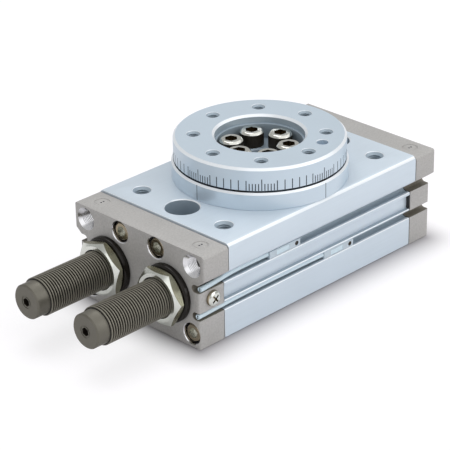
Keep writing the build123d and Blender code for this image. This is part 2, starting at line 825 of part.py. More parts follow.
def lock_nut(side, angle):
    # Hexagon nut with both faces turned to a bevel
    corner_radius = nut_across_flats / sqrt(3)
    bevel = (corner_radius - nut_face_radius) * tan(radians(30))
    nut_front = nut_back - nut_thickness
    with BuildPart() as nut:
        with BuildSketch(Plane.YZ.offset(nut_front)):
            with Locations((side * bore_offset, bore_height)):
                RegularPolygon(nut_across_flats / 2, 6, major_radius=False, rotation=angle)
        extrude(amount=nut_thickness)
        with BuildSketch(axis_sketch(side)):
            with BuildLine():
                Polyline(
                    (nut_front, 0),
                    (nut_front, nut_face_radius),
                    (nut_front + bevel, corner_radius),
                    (nut_back - bevel, corner_radius),
                    (nut_back, nut_face_radius),
                    (nut_back, 0),
                    close=True,
                )
            make_face()
        revolve(axis=Axis((0, side * bore_offset, bore_height), (1, 0, 0)), mode=Mode.INTERSECT)
        nut_place = [(side * bore_offset, bore_height)]
        drill_x(nut_front, nut_place, absorber_radius + seat_clearance, nut_thickness)
    return nut.part


def seal_washer(side):
    # Round washer behind the nut, hollowed at the back for its rubber ring
    with BuildPart() as washer:
        with BuildSketch(Plane.YZ.offset(nut_back)):
            with Locations((side * bore_offset, bore_height)):
                Circle(washer_radius)
                Circle(absorber_radius + seat_clearance, mode=Mode.SUBTRACT)
        extrude(amount=washer_thickness)
        chamfer(rims(washer.part, washer_radius, 0, nut_back), washer_chamfer)
        ring_room = absorber_radius + 2 * o_ring_section + 2 * seat_clearance
        drill_x(front_face, [(side * bore_offset, bore_height)], ring_room, -2 * o_ring_section)
    return washer.part


def rubber_ring(side):
    # Ring of round section on the barrel, in the hollow of the washer
    ring_circle = absorber_radius + o_ring_section + seat_clearance
    with BuildPart() as ring:
        with BuildSketch(axis_sketch(side)):
            with Locations((front_face - o_ring_section, ring_circle)):
                Circle(o_ring_section)
        revolve(axis=Axis((0, side * bore_offset, bore_height), (1, 0, 0)))
    return ring.part


# Everything that each cylinder has once: piston, rings, absorber and its nut
for name, side in sides.items():
    keep(rack_piston(side), f"{name}_rack_piston")
    keep(piston_rings(side, seal_margin, seal_width, seal_depth), f"{name}_piston_seals")
    keep(
        piston_rings(side, wear_ring_margin, wear_ring_width, wear_ring_depth),
        f"{name}_piston_wear_rings",
    )
    with BuildPart() as strike_plug:
        with BuildSketch(Plane.YZ.offset(-piston_length / 2)):
            with Locations((side * bore_offset, bore_height)):
                Circle(strike_plug_radius)
        extrude(amount=strike_plug_length)
    keep(strike_plug.part, f"{name}_strike_plug")
    with BuildPart() as magnet:
        with BuildSketch(magnet_plane(side).offset(-magnet_recess)):
            Circle(magnet_radius)
        extrude(amount=-magnet_thickness)
    keep(magnet.part, f"{name}_piston_magnet")
    keep(absorber_barrel(side), f"{name}_absorber_barrel")
    keep(plunger_rod(side), f"{name}_plunger_rod")
    keep(lock_nut(side, right_nut_angle if side < 0 else left_nut_angle), f"{name}_lock_nut")
    keep(seal_washer(side), f"{name}_seal_washer")
    keep(rubber_ring(side), f"{name}_rubber_ring")

# Soft buffers that stop the pistons at the plain end
with BuildPart() as rear_buffers:
    with BuildSketch(Plane.YZ.offset(piston_limit + buffer_gap)):
        with Locations(*bore_places):
            Circle(buffer_radius)
    extrude(amount=rear_joint + chamber_pocket_depth + buffer_seat_depth - piston_limit - buffer_gap)
keep(rear_buffers.part, "rear_buffers")


def sensor(start, height):
    # Reed sensor that fills its groove, rounded inside and flat outside, with a hole for its screw
    centre = lower_half_width - groove_depth + groove_radius
    screw_x = start + switch_length - switch_screw_setback
    with BuildPart() as body:
        with BuildSketch(Plane.YZ.offset(start)):
            with Locations((-centre, height)):
                Circle(switch_radius)
            with Locations((-(centre + switch_face) / 2, height)):
                Rectangle(switch_face - centre, 2 * switch_radius - 0.1)
        extrude(amount=switch_length)
        with BuildSketch(Plane((screw_x, -switch_face, height), x_dir=(1, 0, 0), z_dir=(0, -1, 0))):
            Circle(switch_screw_radius + seat_clearance)
        extrude(amount=-switch_screw_length, mode=Mode.SUBTRACT)
    return body.part


keep(sensor(upper_switch_start, upper_groove_height), "upper_sensor")
keep(sensor(lower_switch_start, lower_groove_height), "lower_sensor")

# Clamping screws of the two sensors
with BuildPart() as sensor_screws:
    for start, height in (
        (upper_switch_start, upper_groove_height),
        (lower_switch_start, lower_groove_height),
    ):
        screw_x = start + switch_length - switch_screw_setback
        with BuildSketch(Plane((screw_x, -switch_face, height), x_dir=(1, 0, 0), z_dir=(0, -1, 0))):
            Circle(switch_screw_radius)
        extrude(amount=-switch_screw_length)
keep(sensor_screws.part, "sensor_screws")

# Straight leads from the sensors along their grooves, cut just short of the front face
for name, start, end, offset, height in (
    ("upper_sensor_lead", upper_switch_start, upper_lead_end, upper_lead_offset, upper_lead_height),
    ("lower_sensor_lead", lower_switch_start, lower_lead_end, lower_lead_offset, lower_lead_height),
):
    with BuildPart() as lead:
        with BuildSketch(Plane.YZ.offset(start)):
            with Locations((-offset, height)):
                Circle(lead_radius)
        extrude(amount=end - start)
    keep(lead.part, name)
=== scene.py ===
from math import atan2, cos, pi, radians, sin, sqrt

import bmesh
import bpy
from mathutils import Matrix, Vector


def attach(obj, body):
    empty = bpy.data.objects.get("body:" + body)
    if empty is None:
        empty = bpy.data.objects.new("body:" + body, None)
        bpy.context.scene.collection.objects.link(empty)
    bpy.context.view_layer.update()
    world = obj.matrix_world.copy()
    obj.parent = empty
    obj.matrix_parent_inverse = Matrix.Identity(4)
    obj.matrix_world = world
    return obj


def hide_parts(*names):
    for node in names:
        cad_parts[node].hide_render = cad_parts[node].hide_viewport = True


# Looks of a pneumatic rotary table. Sizes are in millimetres and are turned into metres by mm.
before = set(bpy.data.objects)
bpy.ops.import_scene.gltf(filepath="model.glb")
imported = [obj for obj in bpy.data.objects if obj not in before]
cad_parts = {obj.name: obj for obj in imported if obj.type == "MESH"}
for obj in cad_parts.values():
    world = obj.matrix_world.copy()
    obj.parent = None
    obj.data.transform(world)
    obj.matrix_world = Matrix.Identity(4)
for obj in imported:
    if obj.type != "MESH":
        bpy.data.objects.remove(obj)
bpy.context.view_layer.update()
print("Frame loaded:", len(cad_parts), "CAD nodes")

mm = 0.001
roundSteps = 192  # round a large turned part
holeSteps = 48  # round a hole or a small part
towardsX = Matrix.Rotation(radians(90), 4, "Y")  # turns +Z to +X
towardsMinusX = Matrix.Rotation(radians(-90), 4, "Y")
towardsY = Matrix.Rotation(radians(-90), 4, "X")
towardsMinusY = Matrix.Rotation(radians(90), 4, "X")
sides = {"right": -1, "left": 1}


# Camera

view = {
    "focalPixels": 2056.55,
    "imageSide": 450,
    "centre": (230.75, 227.36),
    "azimuth": 45.03,
    "elevation": 26.34,
    "roll": -0.93,
    "distance": 1051.08,
    "aim": (-15.11, -17.28),
    "aimHeight": 40.0,
}


def addObject(name, data):
    made = bpy.data.objects.new(name, data)
    bpy.context.scene.collection.objects.link(made)
    return made


def placeCamera():
    azimuth, elevation, roll = (radians(view[key]) for key in ("azimuth", "elevation", "roll"))
    back = Vector((-sin(azimuth) * cos(elevation), -cos(azimuth) * cos(elevation), sin(elevation)))
    levelRight = Vector((cos(azimuth), -sin(azimuth), 0))
    levelUp = back.cross(levelRight)
    right = levelRight * cos(roll) + levelUp * sin(roll)
    up = levelUp * cos(roll) - levelRight * sin(roll)
    target = right * view["aim"][0] + up * view["aim"][1] + Vector((0, 0, view["aimHeight"]))
    position = (target + back * view["distance"]) * mm
    camera = addObject("camera", bpy.data.cameras.new("camera"))
    camera.matrix_world = Matrix.Translation(position) @ Matrix((right, up, back)).transposed().to_4x4()
    half = view["imageSide"] / 2
    camera.data.sensor_width = 36
    camera.data.lens = 36 * view["focalPixels"] / view["imageSide"]
    camera.data.shift_x = (half - view["centre"][0]) / view["imageSide"]
    camera.data.shift_y = (view["centre"][1] - half) / view["imageSide"]
    camera.data.clip_end = 20
    bpy.context.scene.camera = camera


placeCamera()


# Materials

class Wire:
    # A socket that is used like a number
    def __init__(self, tree, socket):
        self.tree, self.socket = tree, socket

    def maths(self, operation, second, first=None):
        node = self.tree.nodes.new("ShaderNodeMath")
        node.operation = operation
        for socket, value in zip(node.inputs, (self if first is None else first, second)):
            if isinstance(value, Wire):
                self.tree.links.new(value.socket, socket)
            else:
                socket.default_value = value
        return Wire(self.tree, node.outputs[0])

    def __add__(self, other):
        return self.maths("ADD", other)

    def __radd__(self, other):
        return self.maths("ADD", self, other)

    def __sub__(self, other):
        return self.maths("SUBTRACT", other)

    def __rsub__(self, other):
        return self.maths("SUBTRACT", self, other)

    def __mul__(self, other):
        return self.maths("MULTIPLY", other)

    def __rmul__(self, other):
        return self.maths("MULTIPLY", self, other)

    def __truediv__(self, other):
        return self.maths("DIVIDE", other)

    def __pow__(self, other):
        return self.maths("POWER", other)


class Finish:
    # A material with one Principled shader, and a short way to add any other node
    def __init__(self, name, **constants):
        self.material = bpy.data.materials.new(name)
        self.material.use_nodes = True
        self.tree = self.material.node_tree
        self.surface = self.tree.nodes["Principled BSDF"]
        self.put(**constants)

    def feed(self, socket, value):
        if isinstance(value, Wire):
            self.tree.links.new(value.socket, socket)
        elif isinstance(value, tuple) and len(value) == 3 and socket.type == "RGBA":
            socket.default_value = (*value, 1)
        else:
            socket.default_value = value

    def put(self, **values):
        for words, value in values.items():
            self.feed(self.surface.inputs[words.replace("_", " ").title()], value)

    def node(self, kind, settings=None, inputs=None, output=0):
        made = self.tree.nodes.new("ShaderNode" + kind)
        for name, value in (settings or {}).items():
            if name == "stops":
                for element, (place, colour) in zip(made.color_ramp.elements, value):
                    element.position, element.color = place, (*colour, 1)
            else:
                setattr(made, name, value)
        for name, value in (inputs or {}).items():
            self.feed(made.inputs[name], value)
        return Wire(self.tree, made.outputs[output])

    def place(self, scale=(1, 1, 1)):
        coordinates = self.node("TexCoord", output="Object")
        return self.node("Mapping", inputs={"Vector": coordinates, "Scale": scale})

    def along(self):
        # X, Y and Z of the place, each as a number
        coordinates = self.place()
        return [self.node("SeparateXYZ", inputs={"Vector": coordinates}, output=axis) for axis in range(3)]

    def noise(self, scale, stretch=(1, 1, 1), detail=3.0):
        return self.node("TexNoise", inputs={"Vector": self.place(stretch), "Scale": scale, "Detail": detail})

    def tint(self, mask, low, high):
        return self.node("Mix", {"data_type": "RGBA"}, {0: mask, 6: low, 7: high}, output=2)

    def bump(self, height, strength, distance):
        return self.node("Bump", inputs={"Height": height, "Strength": strength, "Distance": distance})


finishes = {
    "anodised": {"colour": (0.60, 0.68, 0.755), "metallic": 0.25, "roughness": 0.36},
    "tableTop": {"colour": (0.57, 0.665, 0.75), "metallic": 0.4, "roughness": 0.32},
    "edgeHighlight": {"colour": (0.86, 0.90, 0.94), "metallic": 0.4, "roughness": 0.3},
    "anodisedPaintedShade": {"colour": (0.33, 0.40, 0.46), "metallic": 0.25, "roughness": 0.42},
    "blasted": {"colour": (0.405, 0.396, 0.385), "metallic": 0.2, "roughness": 0.5},
    "castingPaintedShade": {"colour": (0.19, 0.175, 0.145), "metallic": 0.2, "roughness": 0.5},
    "machined": {"colour": (0.80, 0.80, 0.82), "metallic": 1.0, "roughness": 0.24},
    "phosphate": {"colour": (0.135, 0.127, 0.104), "metallic": 0.5, "roughness": 0.42},
    "nickel": {"colour": (0.72, 0.74, 0.69), "metallic": 1.0, "roughness": 0.2},
    "passivated": {"colour": (0.37, 0.365, 0.27), "metallic": 0.85, "roughness": 0.24},
    "oiledSteel": {"colour": (0.06, 0.05, 0.038), "metallic": 0.7, "roughness": 0.32},
    "halfLitSteel": {"colour": (0.31, 0.265, 0.19), "metallic": 1.0, "roughness": 0.2},
    "litSteel": {"colour": (0.70, 0.70, 0.65), "metallic": 1.0, "roughness": 0.18},
    "groundSteel": {"colour": (0.55, 0.56, 0.58), "metallic": 1.0, "roughness": 0.28},
    "blackPaint": {"colour": (0.009, 0.007, 0.005), "metallic": 0.0, "roughness": 0.2},
    "rubber": {"colour": (0.02, 0.02, 0.021), "metallic": 0.0, "roughness": 0.6},
    "sensorPlastic": {"colour": (0.62, 0.72, 0.80), "metallic": 0.0, "roughness": 0.25},
    "leadSheath": {"colour": (0.58, 0.70, 0.77), "metallic": 0.0, "roughness": 0.38},
    "slate": {"colour": (0.03, 0.045, 0.065), "metallic": 0.0, "roughness": 0.6},
    "amber": {"colour": (0.42, 0.22, 0.08), "metallic": 0.0, "roughness": 0.4},
}


def startFinish(kind):
    size = finishes[kind]
    return Finish(kind, metallic=size["metallic"], roughness=size["roughness"])


def shaded(colour, share):
    return tuple(part * share for part in colour)


def anodisedFinish(kind, stretch):
    # Satin oxide over fine drawing lines, with a faint cloud in its tone
    made = startFinish(kind)
    colour = finishes[kind]["colour"]
    lines = made.noise(1.0, stretch, 4.0)
    cloud = made.noise(45.0)
    grain = made.noise(2600.0, detail=2.0)
    tone = lines * 0.5 + cloud * 0.5
    made.put(
        base_color=made.tint(tone, shaded(colour, 0.93), shaded(colour, 1.06)),
        roughness=finishes[kind]["roughness"] + (grain - 0.5) * 0.08,
        normal=made.bump(lines * 0.6 + grain * 0.4, 0.12, 0.00006),
    )
    return made.material


def turnedFinish(kind):
    # Fine turning marks round the table's axis
    made = startFinish(kind)
    colour = finishes[kind]["colour"]
    x, y, z = made.along()
    radius = (x * x + y * y) ** 0.5
    line = made.node("CombineXYZ", inputs={"X": radius * 2400, "Y": z * 2400, "Z": 0.0})
    marks = made.node("TexNoise", inputs={"Vector": line, "Scale": 1.0, "Detail": 3.0})
    cloud = made.noise(40.0)
    made.put(
        base_color=made.tint(marks * 0.4 + cloud * 0.6, shaded(colour, 0.94), shaded(colour, 1.05)),
        roughness=finishes[kind]["roughness"] + (marks - 0.5) * 0.1,
        normal=made.bump(marks, 0.1, 0.00005),
    )
    return made.material


def blastedFinish(kind):
    # Even, slightly pitted skin of a blasted casting
    made = startFinish(kind)
    colour = finishes[kind]["colour"]
    pits = made.noise(1100.0, detail=4.0)
    cloud = made.noise(60.0)
    made.put(
        base_color=made.tint(pits * 0.8 + cloud * 0.2, shaded(colour, 0.68), shaded(colour, 1.32)),
        roughness=finishes[kind]["roughness"] + (cloud - 0.5) * 0.12,
        normal=made.bump(pits, 0.25, 0.00008),
    )
    return made.material


def steelFinish(kind, fineness, depth, spread=0.16):
    # Steel with a little wear in its gloss and colour
    made = startFinish(kind)
    colour = finishes[kind]["colour"]
    grain = made.noise(fineness, detail=4.0)
    cloud = made.noise(130.0)
    mask = grain * 0.4 + cloud * 0.6
    made.put(
        base_color=made.tint(mask, shaded(colour, 1 - spread), shaded(colour, 1 + spread)),
        roughness=finishes[kind]["roughness"] + (cloud - 0.5) * 0.14,
        normal=made.bump(grain, depth, 0.00005),
    )
    return made.material


def threadShadeFinish(kind, axisOffset, axisHeight, rootRadius, crestRadius):
    # Painted shade darkens the thread towards its roots and painted highlight lightens its crests, varied by
    # a noise
    made = startFinish(kind)
    colour = finishes[kind]["colour"]
    _, y, z = made.along()
    across = (y * y) ** 0.5 - axisOffset * mm
    up = z - axisHeight * mm
    radius = (across * across + up * up) ** 0.5
    crest = made.node(
        "MapRange",
        {"interpolation_type": "SMOOTHSTEP"},
        {"Value": radius, "From Min": rootRadius * mm, "From Max": crestRadius * mm},
    )
    wear = made.noise(600.0, detail=4.0)
    made.put(
        base_color=made.tint(crest * (0.8 + 0.4 * wear), shaded(colour, 0.06), shaded(colour, 1.65)),
        roughness=finishes[kind]["roughness"] + (wear - 0.5) * 0.15,
        normal=made.bump(wear, 0.1, 0.00005),
    )
    return made.material


def plasticFinish(kind, clarity=0.0, coat=0.0, shine=0.5):
    # Moulded plastic, rubber or paint
    made = startFinish(kind)
    colour = finishes[kind]["colour"]
    grain = made.noise(900.0)
    made.surface.inputs["Specular IOR Level"].default_value = shine
    made.put(
        transmission_weight=clarity,
        coat_weight=coat,
        base_color=made.tint(grain, shaded(colour, 0.92), shaded(colour, 1.06)),
        roughness=finishes[kind]["roughness"] + (grain - 0.5) * 0.1,
        normal=made.bump(grain, 0.08, 0.00005),
    )
    return made.material


anodised = anodisedFinish("anodised", (25, 900, 900))
tableTop = turnedFinish("tableTop")
# A light copy of the turned finish, put on bevels as painted highlight
edgeHighlight = turnedFinish("edgeHighlight")
# A darker copy of the anodising, put in grooves, holes and recesses as painted shade
anodisedPaintedShade = anodisedFinish("anodisedPaintedShade", (25, 900, 900))
blasted = blastedFinish("blasted")
# A darker copy of the casting, put in the covers' grooves as painted shade
castingPaintedShade = blastedFinish("castingPaintedShade")
machined = steelFinish("machined", 300.0, 0.01, 0.05)
phosphate = steelFinish("phosphate", 1500.0, 0.15)
nickel = steelFinish("nickel", 500.0, 0.03)
passivated = steelFinish("passivated", 500.0, 0.05)
oiledSteel = steelFinish("oiledSteel", 900.0, 0.1)
# Two lit copies of steel: screw heads take them as painted highlights and glints, the pan heads the darker
# one as painted shade
halfLitSteel = steelFinish("halfLitSteel", 800.0, 0.05)
litSteel = steelFinish("litSteel", 700.0, 0.04)
blackPaint = plasticFinish("blackPaint", shine=0.28)
sensorPlastic = plasticFinish("sensorPlastic", clarity=0.25, coat=0.3)
leadSheath = plasticFinish("leadSheath", coat=0.1)
# Dark slate for the scale marks, also put in gaps, dents and holes as painted shade
slate = plasticFinish("slate")
insideFinishes = {
    "rubber": plasticFinish("rubber"),
    "amber": plasticFinish("amber"),
    "oiledSteel": oiledSteel,
    "groundSteel": steelFinish("groundSteel", 800.0, 0.05),
}
print("Materials made")


# Shaping

def shapedBy(makeShape):
    # A shape's own vertices are put in place, and its faces get their material, once it is made
    def shaped(bm, *sizes, place=Matrix.Identity(4), material=0, **options):
        oldVerts, oldFaces = set(bm.verts), set(bm.faces)
        makeShape(bm, *sizes, **options)
        newVerts = [vert for vert in bm.verts if vert not in oldVerts]
        bmesh.ops.remove_doubles(bm, verts=newVerts, dist=1e-7)
        newVerts = [vert for vert in bm.verts if vert not in oldVerts]
        newFaces = [face for face in bm.faces if face not in oldFaces]
        bmesh.ops.transform(bm, matrix=place, verts=newVerts)
        bmesh.ops.recalc_face_normals(bm, faces=newFaces)
        for face in newFaces:
            face.material_index = material
        return newVerts

    return shaped


@shapedBy
def lathe(bm, profile, steps=holeSteps, closed=False):
    # Radius and height pairs, spun about Z
    verts = [bm.verts.new((radius * mm, 0, height * mm)) for radius, height in profile]
    pairs = list(zip(verts, verts[1:] + verts[:1] if closed else verts[1:]))
    edges = [bm.edges.new(pair) for pair in pairs]
    bmesh.ops.spin(
        bm,
        geom=verts + edges,
        cent=(0, 0, 0),
        axis=(0, 0, 1),
        angle=2 * pi,
        steps=steps,
        use_merge=True,
    )


@shapedBy
def block(bm, low, high):
    centre = [(a + b) / 2 * mm for a, b in zip(low, high)]
    size = [(b - a) * mm for a, b in zip(low, high)]
    bmesh.ops.create_cube(bm, size=1, matrix=Matrix.Translation(centre) @ Matrix.Diagonal((*size, 1)))


@shapedBy
def hexagon(bm, acrossFlats, bottom, top, turn=0.0):
    bmesh.ops.create_cone(
        bm,
        cap_ends=True,
        segments=6,
        radius1=acrossFlats / sqrt(3) * mm,
        radius2=acrossFlats / sqrt(3) * mm,
        depth=(top - bottom) * mm,
        matrix=Matrix.Translation((0, 0, (top + bottom) / 2 * mm)) @ Matrix.Rotation(turn, 4, "Z"),
    )


@shapedBy
def prism(bm, outline, start, end):
    # Corners in Y and Z with the radius that each is rounded to, drawn out along X
    corners = [bm.verts.new((start * mm, y * mm, z * mm)) for y, z, _ in outline]
    face = bm.faces.new(corners)
    for corner, (_, _, radius) in zip(corners, outline):
        if radius:
            bmesh.ops.bevel(
                bm,
                geom=[corner],
                offset=radius * mm,
                segments=6,
                profile=0.5,
                affect="VERTICES",
                material=-1,
            )
    face = [each for each in bm.faces if all(abs(vert.co.x - start * mm) < 1e-7 for vert in each.verts)]
    drawn = bmesh.ops.extrude_face_region(bm, geom=face, use_keep_orig=True)
    moved = [item for item in drawn["geom"] if isinstance(item, bmesh.types.BMVert)]
    bmesh.ops.translate(bm, vec=((end - start) * mm, 0, 0), verts=moved)


def easeEdges(bm, edges, width, segments=1):
    bmesh.ops.bevel(
        bm,
        geom=edges,
        offset=width * mm,
        segments=segments,
        profile=0.5,
        affect="EDGES",
        material=-1,
        clamp_overlap=True,
    )


def finalMesh(piece):
    bpy.context.view_layer.update()
    return bpy.data.meshes.new_from_object(piece.evaluated_get(bpy.context.evaluated_depsgraph_get()))


def carve(piece, cutter, operation="DIFFERENCE"):
    # Cuts one mesh out of another and keeps the result as the piece's own mesh
    mesh = bpy.data.meshes.new("cutter")
    cutter.to_mesh(mesh)
    cutter.free()
    tool = addObject("cutter", mesh)
    cut = piece.modifiers.new("cut", "BOOLEAN")
    cut.operation, cut.solver, cut.object = operation, "EXACT", tool
    carved = finalMesh(piece)
    piece.modifiers.clear()
    piece.data = carved
    bpy.data.objects.remove(tool)


def makePiece(name, bm, materials, body, replaced=(), cutters=(), common=None, smooth=32):
    mesh = bpy.data.meshes.new(name)
    bm.to_mesh(mesh)
    bm.free()
    for material in materials:
        mesh.materials.append(material)
    piece = addObject(name, mesh)
    for cutter in cutters:
        carve(piece, cutter)
    if common:
        carve(piece, common, "INTERSECT")
    piece.data.name = name
    piece.data.shade_smooth()
    piece.data.set_sharp_from_angle(angle=radians(smooth))
    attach(piece, body)
    if replaced:
        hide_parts(*replaced)
    return piece


def at(x, y, z):
    return Matrix.Translation((x * mm, y * mm, z * mm))


def circlePlaces(radius, count, start=0.0):
    turns = [radians(start + 360 * step / count) for step in range(count)]
    return [(radius * cos(turn), radius * sin(turn)) for turn in turns]


def threadedHole(depth, minorRadius, majorRadius, pitch, chamfer, rim=0.0):
    # Profile of a tapped hole as a cutter: mouth up at height 0, V grooves down to the drill's cone
    turns = int((depth - chamfer) / pitch) - 1
    mouth = majorRadius + chamfer
    profile = [(0, 1), (mouth + rim + 1, 1)]
    if rim:
        profile.append((mouth, -rim))
    profile.append((majorRadius, -chamfer - rim))
    for turn in range(turns):
        top = -chamfer - rim - turn * pitch
        profile += [(minorRadius, top - pitch / 2), (majorRadius, top - pitch)]
    last = -chamfer - rim - (turns + 0.5) * pitch
    return profile + [(minorRadius, last), (minorRadius, -depth), (0, -depth - minorRadius * 0.58)]


def plainHole(depth, radius, chamfer=0.0):
    mouth = radius + chamfer + 1 if chamfer else radius
    return [(0, 1), (mouth, 1), (radius, -chamfer), (radius, -depth), (0, -depth)]


def steppedBore(start, steps):
    # Profile of a bore in steps, each with its radius and the height where it ends
    profile = [(0, start)]
    for radius, end in steps:
        profile += [(radius, start), (radius, end)]
        start = end
    return profile + [(0, start)]


def paintFaces(piece, index, isChosen):
    # Faces that a rule picks, by their place in millimetres and their normal, take another finish
    for face in piece.data.polygons:
        if isChosen(face.center / mm, face.normal):
            face.material_index = index


def looksUp(normal):
    return 0.5 < normal.z < 0.9


# Housing and covers

section = {
    "lowerHalf": 42.0,
    "upperHalf": 45.5,
    "slopeFoot": (41.2, 34.55),
    "slopeTop": 38.0,
    "mouth": 2.05,
    "lowerGroove": 17.6,
    "upperGroove": 32.5,
    "grooveEnd": 37.1,
    "grooveHalf": 2.3,
    "lip": 1.5,
    "band": (20.7, 28.5),
    "bandDepth": 2.3,
}
ends = {
    "body": 68.75,
    "frontJoint": -69.25,
    "frontFace": -85.75,
    "rearJoint": 69.25,
    "rearFace": 84.25,
    "bodyTop": 52.0,
    "coverTop": 51.0,
}
bores = {"offset": 21.1, "height": 24.3, "radius": 14.0, "pocket": 6.5, "absorber": 10.02, "buffer": 8.02}
mounts = {"x": 55.3, "y": 28.85}
ringScrews = {"circle": 39.2, "steps": ((4.75, -5.5), (2.8, -10))}
coverScrews = {
    "places": ((-12.55, 45.0), (12.55, 45.0), (-36.3, 7.05), (36.3, 7.05)),
    "sink": 7.0,
    "counterbore": 5.5,
    "clearance": 3.3,
    "head": (5.0, 6.0, 5.0),
    "shank": (3.0, 20.0),
}
ports = {"y": 37.4, "z": 43.9, "thread": (10.0, 4.3, 4.86, 0.907, 1.1)}
passages = {"setback": 7.65, "y": 34.6, "steps": ((4.02, -2.4), (2, -22))}
sideScrews = {"x": -77.0, "z": 25.4, "hole": (7.5, 2.03)}


def sideScrewPlace(side):
    turn = towardsY if side > 0 else towardsMinusY
    return at(sideScrews["x"], side * section["lowerHalf"], sideScrews["z"]) @ turn


def grooveCorners(height, exitY, narrow):
    # One sensor groove, entered at its lower lip; narrow grooves have a mouth smaller than their inside
    size = section
    half = size["grooveHalf"] if narrow else size["mouth"]
    lipEnd = size["lowerHalf"] - size["lip"]
    inside = [
        (size["grooveEnd"], height - half, half - 0.01),
        (size["grooveEnd"], height + half, half - 0.01),
    ]
    before = [(size["lowerHalf"], height - size["mouth"], 0)]
    after = [(exitY, height + size["mouth"], 0)]
    if narrow:
        before += [(lipEnd, height - size["mouth"], 0), (lipEnd, height - half, 0)]
        after = [(lipEnd, height + half, 0), (lipEnd, height + size["mouth"], 0)] + after
    return before + inside + after


def sectionOutline(top, edge, narrow):
    size = section
    half = [(size["lowerHalf"], 0, 0)]
    half += grooveCorners(size["lowerGroove"], size["lowerHalf"], narrow)
    if narrow:
        low, high = size["band"]
        bandEnd = size["lowerHalf"] - size["bandDepth"]
        half += [
            (size["lowerHalf"], low, 0),
            (bandEnd, low, 0),
            (bandEnd, high, 0),
            (size["lowerHalf"], high, 0),
        ]
    half += grooveCorners(size["upperGroove"], size["slopeFoot"][0], narrow)
    half += [
        (size["upperHalf"], size["slopeTop"], 0),
        (size["upperHalf"], top - edge, 0),
        (size["upperHalf"] - edge, top, 0),
    ]
    return half + [(-y, z, radius) for y, z, radius in reversed(half)]


def inGroove(place, halfWidth):
    heights = (section["lowerGroove"], section["upperGroove"])
    return 36 < abs(place.y) < halfWidth and any(abs(place.z - height) < 2.35 for height in heights)


def isHighlightedEdge(place):
    # Faces here that look up take a painted highlight: the mouths of the top holes, the long chamfer, the
    # grooves' lips and the band's ledge
    outside = section["lowerHalf"] - section["bandDepth"] - 0.4
    return place.z > ends["bodyTop"] - 0.4 or (place.z > 14 and abs(place.y) > outside)


def boreAxis(side):
    return at(0, sides[side] * bores["offset"], bores["height"]) @ towardsX


def longEdges(bm):
    # Sharp outer edges that run the whole length, without the lips' inner edges
    return [
        edge
        for edge in bm.edges
        if abs((edge.verts[0].co - edge.verts[1].co).normalized().x) > 0.999
        and abs(edge.verts[0].co.y) > (section["lowerHalf"] - section["lip"] + 0.1) * mm
        and edge.is_convex
        and edge.calc_face_angle(0) > radians(30)
    ]


def endEdges(bm, *places):
    # The whole outline of each end face
    return [
        edge
        for edge in bm.edges
        if any(all(abs(vert.co.x - x * mm) < 1e-7 for vert in edge.verts) for x in places)
    ]


housingSize = {
    "edge": 1.7,
    "ease": 0.38,
    "endEase": 0.18,
    "topThread": (12.0, 3.4, 4.05, 1.25, 0.65, 0.28),
    "baseThread": (10.0, 3.4, 4.0, 1.25, 0.7),
    "coverThread": (13.5, 3.03),
    "ringThread": (9.0, 2.53),
    "throughHole": 5.2,
    "counterbore": 8.75,
    "counterboreFloor": 41.0,
    "pilot": 17.0,
    "shaftSteps": ((17.0, 2.5), (12.5, 5.4), (13.52, 9.9), (14.5, 41.9), (28.95, 43.0), (34.02, 53.0)),
}


def makeHousing():
    size = housingSize
    bm = bmesh.new()
    prism(bm, sectionOutline(ends["bodyTop"], size["edge"], True), -ends["body"], ends["body"])
    easeEdges(bm, longEdges(bm), size["ease"])
    easeEdges(bm, endEdges(bm, -ends["body"], ends["body"]), size["endEase"])
    boreCut = bmesh.new()
    for side in sides:
        lathe(boreCut, steppedBore(-80, [(bores["radius"], 80)]), place=boreAxis(side))
    shaftCut = bmesh.new()
    shaftProfile = [(0, -1), (size["pilot"] + 0.4, -1)] + steppedBore(0.4, size["shaftSteps"])[1:]
    lathe(shaftCut, shaftProfile, roundSteps // 2)
    holeCut = bmesh.new()
    for x in (-1, 1):
        for y in (-1, 1):
            place = at(x * mounts["x"], y * mounts["y"], ends["bodyTop"])
            # Top thread holes take the darker copy as painted shade
            lathe(holeCut, threadedHole(*size["topThread"]), place=place, material=2)
            base = at(x * mounts["x"], y * mounts["y"], 0) @ Matrix.Rotation(pi, 4, "X")
            lathe(holeCut, threadedHole(*size["baseThread"]), place=base)
        wide, narrow, top = size["counterbore"], size["throughHole"], ends["bodyTop"]
        throughHole = [
            (0, top + 1),
            (wide + 1.5, top + 1),
            (wide, top - 0.5),
            (wide, size["counterboreFloor"]),
            (narrow, size["counterboreFloor"]),
            (narrow, 0.3),
            (narrow + 1.3, -1),
            (0, -1),
        ]
        # So does the counterbore, as painted shade
        lathe(holeCut, throughHole, place=at(x * mounts["x"], 0, 0), material=2)
        for y, z in coverScrews["places"]:
            place = at(x * ends["body"], y, z) @ (towardsX if x > 0 else towardsMinusX)
            lathe(holeCut, plainHole(*size["coverThread"]), 24, place=place)
    for x, y in circlePlaces(ringScrews["circle"], 6, 30.0):
        lathe(holeCut, plainHole(*size["ringThread"]), 24, place=at(x, y, ends["bodyTop"]))
    housing = makePiece(
        "extrudedHousing",
        bm,
        [anodised, edgeHighlight, anodisedPaintedShade],
        "housing",
        ["body_housing"],
        [boreCut, shaftCut, holeCut],
    )
    # Groove interiors take the darker copy as painted shade
    paintFaces(housing, 2, lambda place, normal: inGroove(place, 40.45))
    # The band's ledge looks up, yet takes the darker copy as painted shade
    paintFaces(housing, 2, lambda place, normal: normal.z > 0.9 and abs(place.z - section["band"][0]) < 0.5)
    # Upward-looking bevels take the light copy as painted highlight
    paintFaces(housing, 1, lambda place, normal: looksUp(normal) and isHighlightedEdge(place))
    endFace = ends["body"] - 0.2
    # So do the bevels of the end edges that face sideways, as painted highlight
    paintFaces(housing, 1, lambda place, normal: abs(place.x) > endFace and 0.5 < abs(normal.y) < 0.9)


makeHousing()
print("Housing made")


